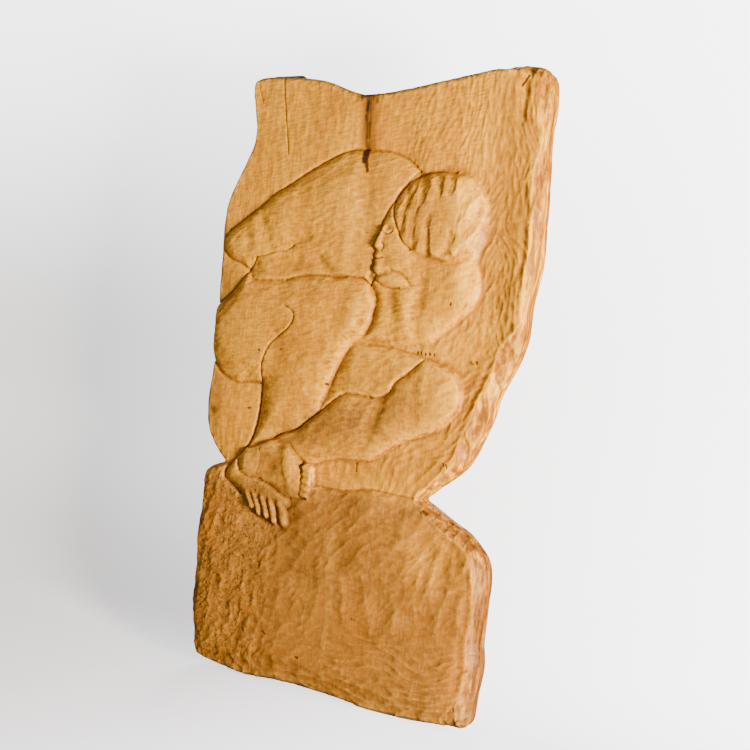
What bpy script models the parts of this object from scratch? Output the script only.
"""A carved limewood wall panel: a crouching figure in low relief on an upright slab.

Metres, +Z up. The front faces -Y. The flat back lies in the plane y = 0, and the origin is on it,
in the middle of the slab. A black hanging plate is let into the back near the top left corner.
"""
import bmesh
import bpy
import numpy as np

# Driving sizes of the slab
panelWidth = 0.729
panelHeight = 1.247
slabThickness = 0.065  # from the back to the highest carving

# Levels of the carving, measured from the back
groundLevel = 0.047
dishDepth = 0.010  # how far the ground on the right is hollowed
rimHeight = 0.011  # how far the right edge stands above its ground
setIn = 0.005  # how far the ground sinks toward the figure
grooveDepth = 0.0045
grooveWidth = 0.006  # from the groove's bottom to its lip
arrisWidth = 0.012  # rounding of the front edge
arrisDrop = 0.014
bevelWidth = 0.030  # wide bevel along the lower right edge and the top right corner
bevelDrop = 0.020

# Hanging plate and its screws
plateWidth = 0.090
plateHeight = 0.060
plateThickness = 0.004
plateCornerRadius = 0.012
plateInset = 0.104  # from the slab's left end to the plate's middle
plateReach = 0.011  # how far its rounded top stands above the slab
screwSpacing = 0.050
screwHeadRadius = 0.0042
screwHeadHeight = 0.0025
screwShankRadius = 0.0018
screwLength = 0.026
clearance = 0.0003

# Resolution
gridStep = 0.003
blockTriangles = 7000
roundSegments = 20

# The drawing: its points and depths are millimetres on a slab of this size, and grow with the real one.
# Points run across from the slab's middle and up from the origin.
drawnWidth = 729
drawnHeight = 1247
drawnThickness = 65
drawnTop = 621
drawnLeft = -371

# Edge of the slab, from the left notch clockwise
leftEdge = [(-297, -195), (-317, -176), (-349, -127), (-356, -70), (-355, 0), (-360, 98), (-367, 220),
            (-371, 300), (-362, 364), (-338, 417), (-320, 460), (-312, 502), (-321, 551), (-329, 598),
            (-317, 614), (-270, 617), (-190, 611), (-140, 602), (-90, 584), (-54, 574)]
rightEdge = [(-54, 574), (0, 577), (60, 586), (130, 598), (210, 612), (280, 621), (325, 615), (347, 596),
             (353, 546), (350, 485), (354, 420), (357, 349), (358, 247), (349, 183), (346, 112), (333, 68),
             (307, 10), (292, -45), (266, -112), (240, -150), (170, -208)]
blockEdge = [(170, -208), (229, -238), (275, -261), (312, -298), (323, -343), (322, -400), (321, -453),
             (326, -501), (320, -567), (316, -602), (300, -617), (257, -618), (185, -625), (103, -626),
             (8, -619), (-92, -617), (-194, -623), (-250, -618), (-293, -612), (-321, -602), (-334, -554),
             (-345, -494), (-347, -399), (-353, -332), (-348, -290), (-351, -231), (-341, -213),
             (-317, -201), (-297, -195)]
ledgeRight = [(-66, -213), (-10, -215), (30, -209), (52, -204), (120, -206), (170, -208)]
ledge = [(-297, -195), (-200, -199)] + ledgeRight

# Contours of the figure
backTop = [(-345, 290), (-268, 345), (-226, 377), (-145, 425), (-106, 445), (-72, 458), (-42, 463), (5, 460),
           (42, 453), (75, 437), (98, 418)]
elbow = [(-345, 290), (-357, 272), (-355, 250), (-340, 233), (-309, 222), (-285, 211)]
armUnder = [(-268, 236), (-241, 241), (-214, 249), (-192, 252), (-173, 263)]
hip = [(-264, 236), (-283, 208), (-303, 184), (-326, 157), (-368, 126)]
thighTop = [(-268, 190), (-224, 191), (-187, 194), (-158, 202), (-123, 206), (-61, 207), (-7, 206), (16, 193)]
seat = [(-362, 20), (-349, 11), (-330, -8), (-307, -21), (-280, -26), (-247, -23), (-218, -24)]
calfBack = [(-218, -24), (-218, 8), (-212, 36), (-199, 62), (-179, 80), (-162, 93), (-151, 109), (-150, 125),
            (-161, 134), (-174, 140)]
shinLeft = [(-218, -24), (-217, -58), (-218, -83), (-224, -119), (-232, -143), (-244, -163), (-264, -185),
            (-282, -205), (-288, -221), (-278, -234), (-256, -246), (-244, -254)]
shinRight = [(16, 193), (30, 168), (26, 128), (12, 96), (-14, 74), (-32, 45), (-46, 12), (-58, -20),
             (-72, -66)]
farThigh = [(-14, 74), (20, 77), (74, 74), (139, 64), (191, 49)]
farKnee = [(191, 49), (224, 33), (237, 1), (232, -33), (210, -61), (189, -76)]
farThighUnder = [(150, 56), (123, 31), (97, 10), (84, -12), (59, -25), (42, -25)]
nearShinTop = [(42, -25), (6, -23), (-20, -25), (-41, -40), (-69, -65), (-96, -86), (-122, -107), (-153, -118),
               (-183, -135), (-219, -153), (-239, -157)]
nearShinUnder = [(189, -76), (158, -90), (127, -103), (98, -122), (73, -139), (47, -150), (-33, -158),
                 (-71, -172)]
topFoot = [(-239, -157), (-252, -179), (-252, -197), (-242, -210), (-223, -216), (-200, -217), (-176, -224),
           (-152, -235), (-134, -243), (-118, -246), (-78, -241)]
hairTop = [(56, 357), (66, 372), (78, 391), (101, 407), (139, 418), (176, 416), (210, 410), (229, 393),
           (244, 370), (251, 337), (248, 294), (239, 269)]
hairUnder = [(239, 269), (218, 259), (200, 249), (174, 244), (154, 247), (120, 256), (99, 265), (81, 282),
             (65, 311), (57, 335), (56, 357)]
shoulderRight = [(239, 269), (238, 248), (246, 224), (250, 196), (240, 166), (218, 142), (189, 118), (160, 88)]
hand = [(26, 205), (44, 219), (68, 224), (92, 213), (108, 196), (84, 190), (58, 192), (38, 196), (26, 205)]


def smoothLine(points, steps=5):
    """The points joined by a Catmull-Rom curve that passes through all of them."""
    p = np.array(points, float)
    ends = [2 * p[0] - p[1], 2 * p[-1] - p[-2]]
    p = np.vstack([ends[0], p, ends[1]])
    t = np.arange(steps)[:, None] / steps
    runs = []
    for a, b, c, d in zip(p, p[1:], p[2:], p[3:]):
        runs.append(0.5 * (2 * b + (c - a) * t + (2 * a - 5 * b + 4 * c - d) * t ** 2
                           + (3 * b - a - 3 * c + d) * t ** 3))
    return np.vstack(runs + [p[-2:-1]])


def smoothLoop(*lines, steps=5):
    """Several lines, each smooth in itself, joined end to end into one closed outline."""
    loop = np.vstack([smoothLine(line, steps)[:-1] for line in lines])
    return np.vstack([loop, loop[:1]])


def distanceTo(line, across, up):
    """The distance from each place to the nearest point of a line."""
    nearest = np.full(across.shape, 1e9)
    for (ax, ay), (bx, by) in zip(line, line[1:]):
        runX, runY = bx - ax, by - ay
        length2 = max(runX ** 2 + runY ** 2, 1e-9)
        share = np.clip(((across - ax) * runX + (up - ay) * runY) / length2, 0, 1)
        np.minimum(nearest, np.hypot(across - ax - share * runX, up - ay - share * runY), out=nearest)
    return nearest


def isInside(loop, across, up):
    """True at each place that a closed outline encloses."""
    odd = np.zeros(across.shape, bool)
    for (ax, ay), (bx, by) in zip(loop, loop[1:]):
        crosses = (ay > up) != (by > up)
        rise = by - ay if by != ay else 1e-9
        odd ^= crosses & (across < ax + (up - ay) / rise * (bx - ax))
    return odd


def ramp(value, low, high):
    """0 below low, 1 above high, and a smooth rise between them."""
    t = np.clip((value - low) / (high - low), 0, 1)
    return t * t * (3 - 2 * t)


def hill(across, up, middle, radii, turn=0.0):
    """A round swelling, 1 at its middle and fading outward."""
    x, y = across - middle[0], up - middle[1]
    cosine, sine = np.cos(turn), np.sin(turn)
    alongX, alongY = x * cosine + y * sine, y * cosine - x * sine
    return np.exp(-(alongX / radii[0]) ** 2 - (alongY / radii[1]) ** 2)


class Relief:
    """Heights above the back, in millimetres, over a field of places on the drawing."""

    def __init__(self, across, up):
        self.across, self.up = across, up
        self.height = np.zeros(across.shape)

    def form(self, loop, edge, crown, roll, blend=0.0):
        """Lay a rounded form on the relief: it rises from edge to crown within roll of its outline."""
        inside = isInside(loop, self.across, self.up)
        x, y = self.across[inside], self.up[inside]
        t = np.clip(distanceTo(loop, x, y) / roll, 0, 1)
        rise = edge + (crown - edge) * np.sqrt(1 - (1 - t) ** 2)
        if blend:
            below = self.height[inside]
            rise = (below + rise + np.sqrt((below - rise) ** 2 + blend ** 2)) / 2
        self.height[inside] = rise

    def swell(self, amount, middle, radii, turn=0.0, within=None):
        """Raise the relief in a round swelling, or sink it if amount is negative."""
        place = np.ones(self.across.shape, bool) if within is None else isInside(within, self.across, self.up)
        rise = amount * hill(self.across[place], self.up[place], middle, radii, turn)
        self.height[place] += rise

    def groove(self, points, depth, width):
        """Cut a groove along a line."""
        gap = distanceTo(smoothLine(points), self.across, self.up)
        self.height -= depth * np.clip(1 - gap / width, 0, 1) ** 1.5


def faceProfile():
    """A calm profile of plain textbook proportions, looking to the lower left."""
    length = 128
    brow, chin = np.array([36, 322]), np.array([66, 203])
    along = (chin - brow) / np.linalg.norm(chin - brow)
    outward = np.array([along[1], -along[0]])
    shares = [(-0.10, -0.02), (0.05, 0.06), (0.20, 0.10), (0.31, 0.105), (0.36, 0.085), (0.48, 0.14),
              (0.60, 0.195), (0.65, 0.155), (0.67, 0.10), (0.73, 0.125), (0.77, 0.095), (0.81, 0.115),
              (0.86, 0.075), (0.94, 0.10), (1.01, 0.06), (1.05, -0.05)]
    return [tuple(brow + along * length * s + outward * length * o) for s, o in shares]


def carve(across, up):
    """The height of the front above the back at each place of the drawing, on the drawing's scale."""
    perDepth = drawnThickness / slabThickness
    perPlan = drawnHeight / panelHeight
    ground = groundLevel * perDepth
    depth, width = grooveDepth * perDepth, grooveWidth * perPlan
    dish = dishDepth * perDepth
    top = drawnThickness
    relief = Relief(across, up)
    slab = smoothLoop(leftEdge, rightEdge, blockEdge)
    torso = smoothLoop(backTop, [(98, 418), (60, 372), (30, 318), (12, 280), (8, 250), (13, 222), (16, 193)],
                       thighTop[::-1], [(-268, 190), (-288, 202)], [(-288, 202), (-264, 236)],
                       [(-264, 236), (-285, 211)], elbow[::-1])
    leg = smoothLoop(hip[1:], [(-368, 126), (-376, 70), (-362, 20)], seat, shinLeft,
                     [(-244, -254), (-215, -250), (-190, -215), (-219, -153)], nearShinTop[-2:3:-1],
                     shinRight[::-1], thighTop[::-1], [(-268, 190), (-283, 208)])
    farLeg = smoothLoop(farThigh, farKnee, nearShinUnder, [(-71, -172), (-100, -140), (-96, -86)],
                        [(-96, -86), (-58, -20), (-32, 45), (-14, 74)])
    shoulder = smoothLoop(shoulderRight, [(160, 88), (74, 80), (20, 84), (-14, 74)],
                          shinRight[4::-1], [(16, 193), (13, 222), (50, 300), (150, 330), (239, 269)])
    head = smoothLoop(hairTop, hairUnder)
    figure = [torso, leg, farLeg, shoulder, head]

    # The ground, hollowed on the right, and the raised block below the ledge
    relief.height += ground
    relief.swell(-dish, (262, 300), (75, 250))
    relief.swell(-dish / 2, (265, 40), (60, 110))
    edgeGap = distanceTo(slab, across, up)
    onRight = ramp(across, 150, 230) * ramp(up, -210, -120) * (1 - 0.7 * ramp(up, 340, 460))
    relief.height += rimHeight * perDepth * onRight * (1 - ramp(edgeGap, 6, 75))
    nearest = np.minimum.reduce([distanceTo(loop, across, up) for loop in figure])
    relief.height -= setIn * perDepth * np.exp(-nearest / 22) * ramp(up, -230, -180)
    block = smoothLoop(ledge, blockEdge)
    relief.form(block, ground - 5, top - 8, 55)
    relief.swell(-9, (235, -300), (55, 40), -0.5, block)
    relief.swell(-5, (255, -420), (60, 110), 0.0, block)
    relief.swell(-4, (-250, -300), (90, 60), 0.0, block)

    # Arched back with the arm across it
    relief.form(torso, ground - 6, top - 6, 75)
    relief.swell(-9, (-190, 222), (95, 26), 0.05, torso)
    relief.swell(-4, (-10, 330), (26, 120), 0.0, torso)
    arm = smoothLoop(elbow[::-1], [(-345, 290), (-268, 345), (-226, 377), (-180, 390)],
                     [(-180, 390), (-140, 350), (-150, 300), (-173, 263)], armUnder[::-1], [(-268, 236), (-285, 211)])
    relief.form(arm, ground - 3, top - 5, 48, 3.0)

    # Shoulder and forearm under the head
    relief.form(shoulder, ground - 5, top - 9, 55)
    relief.swell(-5, (112, 190), (12, 60), -0.1, shoulder)
    relief.swell(4, (212, 215), (28, 60), 0.0, shoulder)
    relief.swell(-4, (70, 150), (14, 50), 0.15, shoulder)

    # Far leg, near leg, then the near shin laid over both
    relief.form(farLeg, ground - 5, top - 10, 60)
    relief.form(leg, ground - 5, top - 1, 72)
    relief.swell(-8, (-190, 60), (18, 90), 0.35, leg)
    relief.swell(4, (-268, 90), (62, 80), 0.0, leg)
    relief.swell(-5, (-60, 120), (60, 24), 0.9, leg)
    shin = smoothLoop([(150, 56), (191, 49)], farKnee, nearShinUnder, [(-71, -172), (-150, -175), (-219, -153)],
                      nearShinTop[-2::-1], farThighUnder[::-1])
    relief.form(shin, ground - 1, top - 3, 58)
    relief.swell(3, (185, -5), (38, 42), 0.0, shin)

    # Feet, one crossed over the other
    underFoot = smoothLoop([(-244, -163), (-264, -185), (-288, -221), (-278, -234), (-244, -256), (-228, -268)],
                           [(-228, -268), (-212, -286), (-190, -298), (-170, -303), (-150, -311), (-124, -312)],
                           [(-124, -312), (-116, -290), (-122, -262), (-140, -220), (-190, -190), (-244, -163)])
    relief.form(underFoot, ground + 4, top - 3, 26)
    for heel, tip in (((-214, -252), (-206, -286)), ((-196, -250), (-184, -299)),
                      ((-176, -252), (-163, -305)), ((-156, -254), (-141, -311))):
        relief.groove([heel, tip], depth * 0.8, width)
    foot = smoothLoop(topFoot, [(-78, -241), (-72, -205), (-78, -172)], [(-78, -172), (-130, -135), (-183, -135)],
                      [(-183, -135), (-219, -150), (-239, -157)])
    relief.form(foot, ground + 5, top, 34)
    relief.swell(-6, (-178, -150), (24, 16), 0.0, foot)
    relief.swell(-7, (-97, -192), (9, 24), 0.35, foot)

    # Head: hair, face turned down, and the hand under the chin
    face = np.vstack([smoothLine(faceProfile()), [(112, 230), (150, 262), (90, 360), (40, 345)]])
    face = np.vstack([face, face[:1]])
    relief.form(face, ground + 1, top - 5, 34)
    relief.form(smoothLoop(hand), ground + 6, top - 3, 15)
    relief.form(head, ground - 1, top, 62)
    for share in (0.12, 0.34, 0.53, 0.76):
        crown = (90 + 140 * share, 398 - 26 * share ** 3)
        bend = (72 + 150 * share, 338 + 10 * share)
        nape = (92 + 122 * share, 288 - 30 * share * (1 - share))
        relief.groove([crown, bend, nape], 2.6, 12)

    # Contour lines cut around the forms
    for line in (backTop, elbow, armUnder, hip, thighTop, seat, calfBack, shinLeft, nearShinTop, farThigh[1:],
                 nearShinUnder, topFoot, hairTop, hairUnder, farThighUnder, ledgeRight):
        relief.groove(line, depth, width)

    # The front edge, rounded all the way and bevelled wide on the right
    wide = ramp(across, 130, 240) * np.maximum(ramp(up, 470, 540), ramp(up, -215, -160) * (1 - ramp(up, 100, 150)))
    reach = (arrisWidth + (bevelWidth - arrisWidth) * wide) * perPlan
    fall = (arrisDrop + (bevelDrop - arrisDrop) * wide) * perDepth
    t = np.clip(edgeGap / reach, 0, 1)
    relief.height -= fall * (1 - t) ** 2
    return np.minimum(relief.height, top)


def material(name, colour, roughness, metallic=0.0):
    made = bpy.data.materials.new(name)
    made.use_nodes = True
    surface = made.node_tree.nodes["Principled BSDF"]
    surface.inputs["Base Color"].default_value = (*colour, 1.0)
    surface.inputs["Roughness"].default_value = roughness
    surface.inputs["Metallic"].default_value = metallic
    return made


def addObject(name, mesh, collection, surface=None):
    made = bpy.data.objects.new(name, mesh)
    collection.objects.link(made)
    if surface:
        mesh.materials.append(surface)
    else:
        made.hide_render = True
        made.display_type = "WIRE"
    return made


def cut(target, cutter, operation):
    modifier = target.modifiers.new(operation.title(), "BOOLEAN")
    modifier.operation = operation
    modifier.object = cutter
    modifier.solver = "EXACT"


def applied(target):
    """Bake an object's modifiers into its mesh."""
    bpy.context.view_layer.update()
    evaluated = target.evaluated_get(bpy.context.evaluated_depsgraph_get())
    mesh = bpy.data.meshes.new_from_object(evaluated)
    target.modifiers.clear()
    target.data = mesh


def prism(name, outline, backY, frontY):
    """A flat outline in the plane of the back, given thickness from backY toward the front."""
    curve = bpy.data.curves.new(name, "CURVE")
    curve.dimensions = "2D"
    curve.fill_mode = "BOTH"
    curve.extrude = (backY - frontY) / 2
    spline = curve.splines.new("POLY")
    spline.points.add(len(outline) - 1)
    for point, (x, z) in zip(spline.points, outline):
        point.co = (x, z, 0.0, 1.0)
    spline.use_cyclic_u = True
    holder = bpy.data.objects.new(name, curve)
    mesh = bpy.data.meshes.new_from_object(holder)
    bpy.data.objects.remove(holder)
    middle = (backY + frontY) / 2
    body = bmesh.new()
    body.from_mesh(mesh)
    bmesh.ops.remove_doubles(body, verts=body.verts, dist=1e-6)
    for vertex in body.verts:
        x, z, y = vertex.co
        vertex.co = (x, middle - y, z)
    bmesh.ops.recalc_face_normals(body, faces=body.faces)
    body.to_mesh(mesh)
    body.free()
    return mesh


def toMetres(points):
    """Points of the drawing as places on the slab's plane."""
    scale = np.array([panelWidth / drawnWidth, panelHeight / drawnHeight])
    return np.array(points, float) * scale


def carvedBlock():
    """A block with the relief on its front, larger than the slab, before the slab's edge is cut."""
    margin = 0.02
    width, height = panelWidth + 2 * margin, panelHeight + 2 * margin
    scaleX, scaleZ = toMetres((1, 1))
    middleX = (drawnLeft + drawnWidth / 2) * scaleX
    middleZ = (drawnTop - drawnHeight / 2) * scaleZ
    block = bmesh.new()
    bmesh.ops.create_grid(block, x_segments=round(width / gridStep), y_segments=round(height / gridStep), size=0.5)
    places = np.array([vertex.co for vertex in block.verts])
    x = middleX + places[:, 0] * width
    z = middleZ + places[:, 1] * height
    heights = carve(x / scaleX, z / scaleZ) * slabThickness / drawnThickness
    for vertex, placeX, placeZ, rise in zip(block.verts, x, z, heights):
        vertex.co = (placeX, -rise, placeZ)
    rim = [edge for edge in block.edges if edge.is_boundary]
    rear = bmesh.ops.extrude_edge_only(block, edges=rim)["geom"]
    for piece in rear:
        if isinstance(piece, bmesh.types.BMVert):
            piece.co.y = margin
    bmesh.ops.contextual_create(block, geom=[edge for edge in block.edges if edge.is_boundary])
    bmesh.ops.recalc_face_normals(block, faces=block.faces)
    mesh = bpy.data.meshes.new("carved_panel")
    block.to_mesh(mesh)
    block.free()
    return mesh


def plateMiddle():
    return toMetres((drawnLeft, 0))[0] + plateInset


def plateOutline(grow=0.0):
    """The hanging plate seen from behind: a rectangle with a low arched top and round lower corners."""
    half, radius = plateWidth / 2 + grow, plateCornerRadius + grow
    topZ = toMetres((0, 616))[1] + plateReach + grow
    lowZ = topZ - plateHeight - 2 * grow
    corners = []
    for cornerX, cornerZ, start in ((half - radius, topZ - radius, 0), (radius - half, topZ - radius, 90),
                                    (radius - half, lowZ + radius, 180), (half - radius, lowZ + radius, 270)):
        for step in range(7):
            angle = np.radians(start + step * 15)
            corners.append((plateMiddle() + cornerX + radius * np.cos(angle), cornerZ + radius * np.sin(angle)))
    return corners


def screwPlaces():
    z = toMetres((0, 616))[1] + plateReach - plateHeight / 2 - 0.008
    return [(plateMiddle() + side * screwSpacing / 2, z) for side in (-1, 1)]


def screwShape(name, place, grow=0.0, proud=0.0):
    """A countersunk screw whose head is flush with the plate, as a turned profile."""
    back = -clearance
    profile = [(0.0, back + proud), (screwHeadRadius + grow, back + proud),
               (screwHeadRadius + grow, back - 0.0003), (screwShankRadius + grow, back - screwHeadHeight - grow),
               (screwShankRadius + grow, back - screwLength + 0.003 - grow), (0.0, back - screwLength - grow)]
    mesh = bpy.data.meshes.new(name)
    turned = bmesh.new()
    points = [turned.verts.new((radius, y, 0.0)) for radius, y in profile]
    edges = [turned.edges.new(pair) for pair in zip(points, points[1:])]
    bmesh.ops.spin(turned, geom=points + edges, axis=(0, 1, 0), cent=(0, 0, 0), steps=roundSegments,
                   angle=2 * np.pi)
    bmesh.ops.remove_doubles(turned, verts=turned.verts, dist=1e-6)
    bmesh.ops.recalc_face_normals(turned, faces=turned.faces)
    bmesh.ops.translate(turned, verts=turned.verts, vec=(place[0], 0.0, place[1]))
    turned.to_mesh(mesh)
    turned.free()
    return mesh


for old in list(bpy.data.objects):
    bpy.data.objects.remove(old)
parts = bpy.data.collections.new("carved wall panel")
cutters = bpy.data.collections.new("cutters")
bpy.context.scene.collection.children.link(parts)
bpy.context.scene.collection.children.link(cutters)
limewood = material("limewood", (0.61, 0.33, 0.12), 0.55)
blackIron = material("black iron", (0.02, 0.02, 0.02), 0.6, 0.6)
steel = material("screw steel", (0.45, 0.44, 0.42), 0.35, 1.0)

# The plain slab behind the carving: its edge, with a pocket in the back, open at the top, and two screw holes
slabEdge = toMetres(smoothLoop(leftEdge, rightEdge, blockEdge, steps=3)[:-1])
slab = addObject("plain_slab", prism("plain_slab", slabEdge, 0.0, -2 * slabThickness), cutters)
pocketDepth = plateThickness + 2 * clearance
pocket = prism("plate_pocket", plateOutline(clearance), pocketDepth, -pocketDepth)
cut(slab, addObject("plate_pocket", pocket, cutters), "DIFFERENCE")

# The plate lies in the pocket, and the screws pass through it into the slab
plate = addObject("hanging_plate", prism("hanging_plate", plateOutline(), -clearance,
                                         -clearance - plateThickness), parts, blackIron)
for side, place in zip(("left", "right"), screwPlaces()):
    addObject("plate_screw_" + side, screwShape("plate_screw_" + side, place), parts, steel)
    hole = addObject("screw_hole_" + side, screwShape("screw_hole_" + side, place, clearance, 0.002), cutters)
    cut(plate, hole, "DIFFERENCE")
    cut(slab, hole, "DIFFERENCE")

# The panel is what the carved block, thinned to fewer triangles, and the plain slab share
panel = addObject("carved_panel", carvedBlock(), parts, limewood)
soften = panel.modifiers.new("Soften the grid", "SMOOTH")
soften.iterations = 3
soften.use_x = soften.use_z = False
thin = panel.modifiers.new("Fewer triangles", "DECIMATE")
thin.ratio = blockTriangles / (2 * len(panel.data.polygons))
applied(panel)
cut(panel, slab, "INTERSECT")
